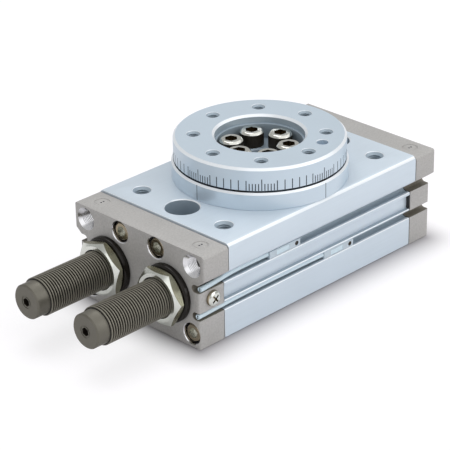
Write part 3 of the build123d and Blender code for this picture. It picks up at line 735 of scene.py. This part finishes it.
def makeCover(name, node, joint, face):
    size = {"edge": 1.2, "ease": 0.18, "corner": 1.0}
    outward = 1 if face > joint else -1
    bm = bmesh.new()
    prism(bm, sectionOutline(ends["coverTop"], size["edge"], False), joint, face)
    uprights = [
        edge
        for edge in bm.edges
        if all(abs(vert.co.x - face * mm) < 1e-7 and abs(vert.co.y) > 41.1 * mm for vert in edge.verts)
        and abs((edge.verts[0].co - edge.verts[1].co).normalized().z) > 0.999
    ]
    easeEdges(bm, uprights, size["corner"], 5)
    easeEdges(bm, longEdges(bm) + endEdges(bm, joint, face), size["ease"])
    outwards = towardsX if outward > 0 else towardsMinusX
    boreCut, screwCut, passageCut = bmesh.new(), bmesh.new(), bmesh.new()
    depth = abs(face - joint)
    for side in sides.values():
        centre = at(joint, side * bores["offset"], bores["height"]) @ outwards
        opening = (bores["absorber"], depth + 1) if outward < 0 else (bores["buffer"], bores["pocket"] + 1)
        lathe(boreCut, steppedBore(-1, [(bores["radius"], bores["pocket"]), opening]), place=centre)
        if outward < 0:
            place = at(face, side * ports["y"], ports["z"]) @ outwards
            lathe(screwCut, threadedHole(*ports["thread"]), place=place, material=1)
            lathe(screwCut, plainHole(*sideScrews["hole"]), 24, place=sideScrewPlace(side))
        place = at(joint + outward * passages["setback"], side * passages["y"], ends["coverTop"])
        lathe(passageCut, steppedBore(1, passages["steps"]), place=place)
    sink, clearance = coverScrews["counterbore"], coverScrews["clearance"]
    screwProfile = [(0, 1), (sink + 1.4, 1)]
    screwProfile += steppedBore(-0.4, [(sink, -coverScrews["sink"]), (clearance, -depth - 1)])[1:]
    for y, z in coverScrews["places"]:
        lathe(screwCut, screwProfile, place=at(face, y, z) @ outwards, material=1)
    cover = makePiece(
        name,
        bm,
        [blasted, machined, castingPaintedShade],
        "housing",
        [node],
        [boreCut, screwCut, passageCut],
    )
    # Groove interiors take the darker copy as painted shade
    paintFaces(cover, 2, lambda place, normal: inGroove(place, 41.75))


makeCover("frontEndCover", "front_cover", ends["frontJoint"], ends["frontFace"])
makeCover("rearEndCover", "rear_cover", ends["rearJoint"], ends["rearFace"])
print("Covers made")


# Turning table and the fixed ring

tableSize = {
    "radius": 44.0,
    "bottom": 62.0,
    "top": 74.0,
    "edge": 1.2,
    "hub": 24.0,
    "hubBottom": 52.0,
    "shaftHole": 8.0,
    "recess": 22.0,
    "recessFloor": 61.5,
    "recessMouth": 23.0,
    "mouthFloor": 69.5,
    "holeCircle": 33.5,
    "thread": (10.0, 2.5, 3.05, 1.0, 0.5, 0.15),
    "pinHole": (6.5, 3.0, 0.2),
    "screwCircle": 15.0,
    "screwHole": (4.3, -11),
    "scale": {"long": 6.4, "medium": 5.5, "short": 4.0, "width": 0.5, "depth": 0.12},
}


def scaleMarks():
    # Angle and height of each line: a long one every 45 degrees, short ones beside it, then medium ones
    size = tableSize["scale"]
    for turn in range(0, 360, 45):
        yield turn, size["long"]
        for away in (2, 4, 6, 8):
            yield turn + away, size["short"]
            yield turn - away, size["short"]
        for away in (10, 15, 20):
            yield turn + away, size["medium"]
            yield turn - away, size["medium"]


def makeTable():
    size = tableSize
    radius, top, bottom, edge = size["radius"], size["top"], size["bottom"], size["edge"]
    hub, recess, mouth = size["hub"], size["recess"], size["recessMouth"]
    floor, shaftHole = size["recessFloor"], size["shaftHole"]
    bm = bmesh.new()
    lathe(
        bm,
        [
            (shaftHole, size["hubBottom"]),
            (hub - 0.3, size["hubBottom"]),
            (hub, size["hubBottom"] + 0.3),
            (hub, bottom),
            (radius - 0.3, bottom),
            (radius, bottom + 0.3),
            (radius, top - edge),
            (radius - edge, top),
            (mouth + edge, top),
            (mouth, top - edge),
            (mouth, size["mouthFloor"]),
            (recess + 0.2, size["mouthFloor"]),
            (recess, size["mouthFloor"] - 0.2),
            (recess, floor),
            (shaftHole + 0.7, floor),
            (shaftHole, floor - 0.7),
        ],
        roundSteps,
        closed=True,
    )
    marks = bmesh.new()
    scale = size["scale"]
    for turn, height in scaleMarks():
        block(
            marks,
            (radius - scale["depth"], -scale["width"] / 2, bottom + 0.25),
            (radius + 1, scale["width"] / 2, bottom + height),
            place=Matrix.Rotation(radians(turn), 4, "Z"),
            material=1,
        )
    holes = bmesh.new()
    for x, y in circlePlaces(size["holeCircle"], 8):
        # Threaded holes take the darker copy of the anodising as painted shade
        lathe(holes, threadedHole(*size["thread"]), place=at(x, y, top), material=3)
    for x, y in circlePlaces(size["holeCircle"], 1, -67.5):
        lathe(holes, plainHole(*size["pinHole"]), place=at(x, y, top))
    for x, y in circlePlaces(size["screwCircle"], 6):
        lathe(holes, steppedBore(1, [size["screwHole"]]), place=at(x, y, floor))
    table = makePiece(
        "turnedTable",
        bm,
        [tableTop, slate, edgeHighlight, anodisedPaintedShade],
        "table",
        ["table"],
        [marks, holes],
    )

    def isRimHighlight(place):
        # Faces here that look up take a painted highlight: the chamfers of the rim and the recess, and the
        # very edge of each hole's mouth
        fromHoles = abs(place.to_2d().length - size["holeCircle"])
        return place.z > top - 0.12 or (place.z > top - 0.7 and fromHoles >= 5)

    def isShadedRecess(place):
        return place.to_2d().length < mouth + 0.2 and floor - 0.5 < place.z < top - edge

    # The recess takes the darker copy as painted shade
    paintFaces(table, 3, lambda place, normal: isShadedRecess(place))
    paintFaces(table, 2, lambda place, normal: looksUp(normal) and isRimHighlight(place))
    # The table's underside is painted dark as painted shade in the gap over the ring
    paintFaces(table, 1, lambda place, normal: normal.z < -0.9 and abs(place.z - bottom) < 0.1)


def makeRing():
    size = {
        "radius": 45.0,
        "top": 61.2,
        "edge": 1.0,
        "seat": 28.95,
        "seatTop": 53.0,
        "opening": 25.3,
        "mark": 0.12,
    }
    radius, top, bottom = size["radius"], size["top"], ends["bodyTop"]
    bm = bmesh.new()
    lathe(
        bm,
        [
            (size["seat"], size["seatTop"]),
            (size["seat"], bottom),
            (radius - 0.2, bottom),
            (radius, bottom + 0.2),
            (radius, top - size["edge"]),
            (radius - size["edge"], top),
            (size["opening"] + 0.2, top),
            (size["opening"], top - 0.2),
            (size["opening"], size["seatTop"]),
        ],
        roundSteps,
        closed=True,
    )
    marks = bmesh.new()
    for turn in (180, -90):
        block(
            marks,
            (radius - size["mark"], -0.2, bottom),
            (radius + 1, 0.2, top + 0.1),
            place=Matrix.Rotation(radians(turn), 4, "Z"),
            material=1,
        )
    holes = bmesh.new()
    for x, y in circlePlaces(ringScrews["circle"], 6, 30.0):
        lathe(holes, steppedBore(1, ringScrews["steps"]), 32, place=at(x, y, top))
    ring = makePiece(
        "fixedRing",
        bm,
        [tableTop, slate, edgeHighlight],
        "housing",
        ["bearing_retainer"],
        [marks, holes],
    )
    # Upward-looking chamfers at the top take the light copy as painted highlight
    paintFaces(ring, 2, lambda place, normal: looksUp(normal) and place.z > top - 1.2)
    # The ring's top face is painted dark as painted shade in the gap under the table
    paintFaces(ring, 1, lambda place, normal: normal.z > 0.9 and place.z > top - 0.2)


makeTable()
makeRing()
print("Table and ring made")


# Screws

def capScrews(name, node, places, head, shank, body, materials, knurls=48):
    # Socket head cap screws: knurled side, bevelled top and a hexagon socket, the top and the socket in
    # lighter copies of steel as painted highlights and glints
    headRadius, headHeight, socketWidth = head
    shankRadius, shankLength = shank
    bm, sockets = bmesh.new(), bmesh.new()
    bevel = headRadius * 0.13
    knurlTop = headHeight - bevel
    inset = 0.965
    for place in places:
        verts = lathe(
            bm,
            [
                (0, -shankLength),
                (shankRadius - 0.4, -shankLength),
                (shankRadius, -shankLength + 0.5),
                (shankRadius, 0),
                (headRadius - 0.2, 0),
                (headRadius, 0.2),
                (headRadius, headHeight - bevel * 1.6),
                (headRadius - 0.12, headHeight - bevel * 1.3),
                (headRadius - bevel, headHeight - bevel * 0.25),
                (headRadius - bevel * 1.5, headHeight),
                (0, headHeight),
            ],
            2 * knurls,
        )
        for vert in verts:
            step = round(atan2(vert.co.y, vert.co.x) / (pi / knurls))
            outside = vert.co.to_2d().length > (headRadius - 0.05) * mm
            if outside and 0.3 * mm < vert.co.z < knurlTop * mm and step % 2:
                vert.co.x *= inset
                vert.co.y *= inset
        # The head's bevel and top take the second finish and the socket the third, lighter copies of steel as
        # painted highlight
        for face in {face for vert in verts for face in vert.link_faces}:
            face.material_index = 1 if face.calc_center_median().z > (headHeight - bevel * 1.5) * mm else 0
        bmesh.ops.transform(bm, matrix=place, verts=verts)
        hexagon(sockets, socketWidth, headHeight * 0.45, headHeight + 1, 0.3, place=place, material=2)
    makePiece(name, bm, materials, body, [node], [sockets], smooth=25)


def makeScrews():
    capScrews(
        "tableCapScrews",
        "table_screws",
        [at(x, y, tableSize["recessFloor"]) for x, y in circlePlaces(tableSize["screwCircle"], 6)],
        (6.25, 8.0, 6.0),
        (4.0, 16.0),
        "table",
        [oiledSteel, litSteel, halfLitSteel],
    )
    for name, node, face, turn in (
        ("frontCapScrews", "front_cover_screws", ends["frontFace"], towardsMinusX),
        ("rearCapScrews", "rear_cover_screws", ends["rearFace"], towardsX),
    ):
        seat = face + (coverScrews["sink"] if face < 0 else -coverScrews["sink"])
        capScrews(
            name,
            node,
            [at(seat, y, z) @ turn for y, z in coverScrews["places"]],
            coverScrews["head"],
            coverScrews["shank"],
            "housing",
            [oiledSteel, halfLitSteel, litSteel],
        )


makeScrews()


def makeSideScrews():
    # Pan heads with a cross recess on both sides of the front cover, with painted shade in the cross and on
    # the lower side of the head
    bm, crosses = bmesh.new(), [bmesh.new(), bmesh.new()]
    for side in sides.values():
        place = sideScrewPlace(side)
        lathe(
            bm,
            [
                (0, -6.0),
                (1.7, -6.0),
                (2.0, -5.5),
                (2.0, 0.0),
                (4.0, 0.0),
                (4.1, 0.12),
                (4.1, 0.9),
                (3.85, 1.5),
                (3.3, 2.0),
                (2.6, 2.28),
                (1.6, 2.38),
                (0, 2.4),
            ],
            40,
            place=place,
        )
        # The lower side of the head takes the darker copy of steel as painted shade
        for face in bm.faces:
            if abs(face.calc_center_median().y) < (section["lowerHalf"] + 1.3) * mm:
                face.material_index = 1
        for cross, turn in zip(crosses, (40, 130)):
            block(
                cross,
                (-2.4, -0.5, 1.1),
                (2.4, 0.5, 3.0),
                place=place @ Matrix.Rotation(radians(turn), 4, "Z"),
                material=1,
            )
    makePiece("sidePanScrews", bm, [nickel, halfLitSteel], "housing", ["side_screws"], crosses)


makeSideScrews()


def makePlugs():
    # Flush plugs with a rounded rim and two staked dots, the dots painted dark as painted shade in the dents
    rim = [(4, -0.3), (3.85, -0.12), (3.4, -0.08), (3.2, -0.2), (3, -0.02)]
    dotProfile = [(0, 0.5), (0.55, 0.5), (0.45, -0.4), (0, -0.55)]
    bm, dots = bmesh.new(), bmesh.new()
    for x in (ends["frontJoint"] - passages["setback"], ends["rearJoint"] + passages["setback"]):
        for side in sides.values():
            place = at(x, side * passages["y"], ends["coverTop"])
            lathe(bm, [(0, -2.4), (4, -2.4), *rim, (0, 0)], place=place)
            for step in (-1, 1):
                lathe(dots, dotProfile, 16, place=place @ at(step * 0.8, 0, 0), material=1)
    materials = [blasted, slate]
    makePiece("drilledPlugs", bm, materials, "housing", ["passage_plugs"], [dots])


makePlugs()
print("Screws and plugs made")


# Shock absorbers

absorber = {
    "front": -139.7,
    "shoulder": -133.2,
    "back": -78.0,
    "radius": 9.98,
    "root": 8.95,
    "end": 8.9,
    "pitch": 1.5,
    "threadEnd": -86.5,
    "nutBack": -89.0,
    "nutThickness": 5.3,
    "nutWidth": 27.0,
    "nutFace": 12.5,
    "nutTurns": {"right": -0.9, "left": -16.3},
    "washer": 15.2,
    "insideRadius": 10.02,
    # Radii from the painted shade at the thread's roots to its painted lighter crests
    "shadeToCrestBand": (9.35, 9.88),
    "hollow": 7.6,
    "socket": 4.0,
    "rodHole": 3.05,
}


def threadRidge(bm, start, end, root, crest, pitch, place):
    # A closed ridge of V section that winds about Z and sinks into the core a little
    steps = 48
    turns = int((end - start) / pitch)
    half = pitch * 0.46
    flat = pitch * 0.15
    depth = 0.1
    outline = [(root - depth, -half), (crest, -flat), (crest, flat), (root - depth, half)]
    verts = [bm.verts.new((radius * mm, 0, (start + pitch / 2 + height) * mm)) for radius, height in outline]
    face = bm.faces.new(verts)
    old = set(bm.verts) - set(verts)
    bmesh.ops.spin(
        bm,
        geom=[face] + list(face.edges) + verts,
        cent=(0, 0, 0),
        axis=(0, 0, 1),
        dvec=(0, 0, pitch * mm / steps),
        angle=2 * pi * (turns - 1),
        steps=steps * (turns - 1),
    )
    made = [vert for vert in bm.verts if vert not in old]
    faces = list({face for vert in made for face in vert.link_faces})
    bmesh.ops.recalc_face_normals(bm, faces=faces)
    bmesh.ops.transform(bm, matrix=place, verts=made)
    for face in faces:
        face.material_index = 2


threaded = threadShadeFinish("phosphate", bores["offset"], bores["height"], *absorber["shadeToCrestBand"])


def makeAbsorber(side):
    size = absorber
    centre = boreAxis(side)
    bm = bmesh.new()
    lathe(
        bm,
        [
            (0, size["front"]),
            (2.6, size["front"]),
            (2.6, size["front"] + 0.25),
            (3.3, size["front"] + 0.25),
            (3.3, size["front"]),
            (8.2, size["front"]),
            (size["end"], size["front"] + 0.7),
            (size["end"], size["shoulder"] - 0.5),
            (9.0, size["shoulder"]),
            (size["root"], size["shoulder"] + 0.4),
            (size["root"], size["shoulder"] + 1.7),
            (size["root"], size["back"] - 0.5),
            (8.8, size["back"]),
            (size["rodHole"], size["back"]),
            (size["rodHole"], size["back"] - 6.0),
            (size["hollow"], size["back"] - 6.0),
            (size["hollow"], size["front"] + 12.0),
            (0, size["front"] + 12.0),
        ],
        96,
        place=centre,
    )
    # The threaded core takes the thread finish, with painted shade at its roots
    for face in bm.faces:
        if face.calc_center_median().x > (size["shoulder"] + 1.7) * mm:
            face.material_index = 2
    socket = bmesh.new()
    hexagon(socket, size["socket"], size["front"] - 1, size["front"] + 3.5, 0.4, place=centre, material=1)
    barrel = makePiece(
        side + "ThreadedBarrel",
        bm,
        [phosphate, oiledSteel, threaded],
        "housing",
        [side + "_absorber_barrel"],
        [socket],
        smooth=28,
    )
    ridge = bmesh.new()
    ridge.from_mesh(barrel.data)
    threadRidge(
        ridge,
        size["shoulder"] - 0.2,
        size["threadEnd"],
        size["root"],
        size["radius"],
        size["pitch"],
        centre,
    )
    ridge.to_mesh(barrel.data)
    ridge.free()
    barrel.data.shade_smooth()
    barrel.data.set_sharp_from_angle(angle=radians(28))


def makeNut(side):
    size = absorber
    centre = boreAxis(side)
    back, front = size["nutBack"], size["nutBack"] - size["nutThickness"]
    corner = size["nutWidth"] / sqrt(3)
    bevel = (corner - size["nutFace"]) * 0.577
    bm, turned = bmesh.new(), bmesh.new()
    hexagon(bm, size["nutWidth"], front - 1, back + 1, radians(size["nutTurns"][side]), place=centre)
    lathe(
        turned,
        [
            (size["insideRadius"], front + 0.7),
            (size["insideRadius"] + 0.68, front),
            (size["nutFace"], front),
            (corner + 0.01, front + bevel),
            (corner + 0.01, back - bevel),
            (size["nutFace"], back),
            (size["insideRadius"], back),
        ],
        roundSteps // 2,
        place=centre,
        closed=True,
        material=1,
    )
    makePiece(
        side + "HexNut",
        bm,
        [passivated, nickel],
        "housing",
        [side + "_lock_nut"],
        common=turned,
        smooth=20,
    )


def makeWasher(side):
    size = absorber
    centre = boreAxis(side)
    back, front = ends["frontFace"], size["nutBack"]
    bm = bmesh.new()
    lathe(
        bm,
        [
            (size["insideRadius"], front),
            (14.0, front),
            (14.45, front + 0.12),
            (14.95, front + 0.5),
            (size["washer"], front + 1.0),
            (size["washer"], back - 0.35),
            (14.9, back),
            (11.84, back),
            (11.84, back - 1.8),
            (size["insideRadius"], back - 1.8),
        ],
        roundSteps // 2,
        place=centre,
        closed=True,
    )
    nodes = [side + "_seal_washer"]
    makePiece(side + "BlackWasher", bm, [blackPaint], "housing", nodes, smooth=40)


for side in sides:
    makeAbsorber(side)
    makeNut(side)
    makeWasher(side)
print("Absorbers made")


# Sensors and leads

sensors = {
    "upper": {
        "start": -36.8,
        "z": 32.5,
        "lead": [
            (-36.8, -39.7, 32.9),
            (-50, -39.6, 33.1),
            (-64, -39.9, 33.0),
            (-74, -40.5, 32.2),
            (-84.2, -40.9, 31.9),
        ],
    },
    "lower": {
        "start": 2.9,
        "z": 17.6,
        "lead": [
            (2.9, -40.0, 18.0),
            (-20, -39.9, 18.3),
            (-60, -40.0, 18.2),
            (-75, -40.3, 17.8),
            (-85.5, -40.4, 17.5),
        ],
    },
    "length": 21.8,
    "centre": 39.4,
    "radius": 2.0,
    "face": 41.7,
    "leadRadius": 1.35,
    "coreRadius": 0.42,
    "screwInset": 2.5,
    "screwHole": (2.4, 1.22),
}


def makeLead(points, radius):
    # A round lead that follows a smooth curve through its groove
    curve = bpy.data.curves.new("lead", "CURVE")
    curve.dimensions = "3D"
    curve.bevel_depth, curve.bevel_resolution, curve.use_fill_caps = radius * mm, 6, True
    spline = curve.splines.new("NURBS")
    spline.points.add(len(points) - 1)
    for point, place in zip(spline.points, points):
        point.co = (*[part * mm for part in place], 1)
    spline.order_u, spline.use_endpoint_u = 3, True
    piece = addObject("lead", curve)
    mesh = finalMesh(piece)
    bpy.data.objects.remove(piece)
    bm = bmesh.new()
    bm.from_mesh(mesh)
    bmesh.ops.remove_doubles(bm, verts=bm.verts, dist=1e-6)
    bmesh.ops.recalc_face_normals(bm, faces=bm.faces)
    return bm


def makeSensor(name):
    size = sensors
    own = sensors[name]
    end = own["start"] + size["length"]
    half = size["radius"] - 0.05
    inner = size["centre"] - size["radius"]
    outline = [
        (-size["face"], own["z"] - half, 0.3),
        (-size["face"], own["z"] + half, 0.3),
        (-inner, own["z"] + half, 1.8),
        (-inner, own["z"] - half, 1.8),
    ]
    bm = bmesh.new()
    prism(bm, outline, own["start"], end)
    window = bmesh.new()
    block(
        window,
        (own["start"] + 5.0, -42.2, own["z"] - 1.2),
        (own["start"] + 14.0, -41.5, own["z"] + 1.2),
        material=2,
    )
    screwHole = bmesh.new()
    place = at(end - size["screwInset"], -size["face"], own["z"]) @ towardsMinusY
    # The screw hole's walls are painted dark as painted shade round the set screw
    lathe(screwHole, plainHole(*size["screwHole"]), 24, place=place, material=1)
    makePiece(
        name + "ReedSensor",
        bm,
        [sensorPlastic, slate, leadSheath],
        "housing",
        [name + "_sensor"],
        [window, screwHole],
    )
    lead = makeLead(own["lead"], size["leadRadius"])
    leadEnd, y, z = own["lead"][-1]
    core = bmesh.new()
    coreProfile = steppedBore(leadEnd - 1, [(size["coreRadius"], leadEnd + 0.4)])
    for step in (-1, 1):
        lathe(core, coreProfile, 16, place=at(0, y, z + step * 0.5) @ towardsX, material=1)
    makePiece(
        name + "BlueLead",
        lead,
        [leadSheath, slate],
        "housing",
        [name + "_sensor_lead"],
        [core],
    )


def makeSensorScrews():
    bm, slots = bmesh.new(), bmesh.new()
    for name in ("upper", "lower"):
        own = sensors[name]
        x = own["start"] + sensors["length"] - sensors["screwInset"]
        place = at(x, -sensors["face"], own["z"]) @ towardsMinusY
        lathe(bm, [(0, -2.4), (1.2, -2.4), (1.2, -0.25), (1.05, -0.1), (0, -0.1)], 24, place=place)
        block(slots, (-1.3, -0.18, -0.6), (1.3, 0.18, 0.5), place=place)
    makePiece("sensorSetScrews", bm, [oiledSteel], "housing", ["sensor_screws"], [slots])


makeSensor("upper")
makeSensor("lower")
makeSensorScrews()
print("Sensors made")


# CAD nodes that keep their own shape

keptNodes = {
    "rubber": ["front_gasket", "rear_gasket", "right_rubber_ring", "left_rubber_ring"],
    "amber": ["rear_buffers"],
    "oiledSteel": ["retainer_screws", "shaft_snap_ring"],
    "groundSteel": [
        "pinion",
        "table_pin",
        "upper_bearing_outer_ring",
        "upper_bearing_inner_ring",
        "upper_bearing_balls",
        "lower_bearing_outer_ring",
        "lower_bearing_inner_ring",
        "lower_bearing_balls",
    ],
}
for side in sides:
    keptNodes["rubber"].append(side + "_piston_seals")
    keptNodes["amber"].append(side + "_piston_wear_rings")
    keptNodes["groundSteel"] += [side + "_rack_piston", side + "_strike_plug", side + "_plunger_rod"]
    keptNodes["oiledSteel"].append(side + "_piston_magnet")
for finish, names in keptNodes.items():
    for name in names:
        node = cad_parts[name]
        node.data.materials.clear()
        node.data.materials.append(insideFinishes[finish])
print("CAD nodes finished")


# Floor and light

stage = {
    "floor": (0.80, 0.79, 0.805),
    # The camera sees a darker floor, so that the painted contact shadow and the lamps' shadows show
    "floorSeen": (0.31, 0.30, 0.32),
    "glow": 0.69,
    # Box round which a contact shadow is painted on the floor
    "footprint": {"centre": -2.5, "halfLength": 82.7, "halfWidth": 41.5, "reach": 24.0},
    "sky": 0.5,
    "overhead": {"energy": 10.5, "size": 2.2, "place": (0.4, -0.3, 1.35)},
    "back": {"energy": 5.5, "size": 0.75, "place": (0.12, 0.5, 1.35)},
    "side": {"energy": 9.0, "size": 1.4, "place": (0.3, -1.55, 0.8)},
    "front": {"energy": 4.5, "size": 1.4, "place": (-1.5, -0.3, 0.5)},
}


def makeFloor():
    # For the camera alone, the floor glows towards white with its distance from the part's footprint, which
    # paints a soft contact shadow round it
    bm = bmesh.new()
    bmesh.ops.create_grid(bm, x_segments=1, y_segments=1, size=6, matrix=Matrix.Translation((0, 0, -0.0002)))
    mesh = bpy.data.meshes.new("floor")
    bm.to_mesh(mesh)
    bm.free()
    made = Finish("floor", roughness=0.9, emission_strength=1.0)
    path = made.node("LightPath", output="Is Camera Ray")
    size = stage["footprint"]
    x, y, _ = made.along()
    x = x - size["centre"] * mm
    beyondEnd = ((x * x) ** 0.5 - size["halfLength"] * mm).maths("MAXIMUM", 0.0)
    beyondSide = ((y * y) ** 0.5 - size["halfWidth"] * mm).maths("MAXIMUM", 0.0)
    distance = (beyondEnd * beyondEnd + beyondSide * beyondSide) ** 0.5
    # Painted contact shadow, full at the footprint and gone at reach
    paintedShadow = (1 - distance / (size["reach"] * mm)).maths("MAXIMUM", 0.0)
    brightness = stage["glow"] * (1 - paintedShadow * paintedShadow)
    made.put(
        base_color=made.tint(path, stage["floor"], stage["floorSeen"]),
        emission_color=made.tint(path * brightness, (0.0, 0.0, 0.0), (1.0, 1.0, 1.0)),
    )
    mesh.materials.append(made.material)
    addObject("floor", mesh)


def makeSky():
    # The camera sees white, the part a softer sky
    world = bpy.data.worlds.new("sky")
    world.use_nodes = True
    bpy.context.scene.world = world
    tree = world.node_tree
    background = tree.nodes["Background"]
    path = tree.nodes.new("ShaderNodeLightPath")
    camera = Wire(tree, path.outputs["Is Camera Ray"])
    strength = stage["sky"] + camera * (1 - stage["sky"])
    tree.links.new(strength.socket, background.inputs["Strength"])
    background.inputs["Color"].default_value = (1, 1, 1, 1)


def makeLamp(name):
    size = stage[name]
    lamp = addObject(name + "Lamp", bpy.data.lights.new(name + "Lamp", "AREA"))
    lamp.data.energy = size["energy"]
    lamp.data.size = size["size"]
    lamp.location = size["place"]
    lamp.rotation_euler = (-Vector(size["place"])).to_track_quat("-Z", "Y").to_euler()


makeFloor()
makeSky()
makeLamp("overhead")
makeLamp("back")
makeLamp("side")
makeLamp("front")
bpy.context.scene.view_settings.view_transform = "Standard"
print("Stage made")
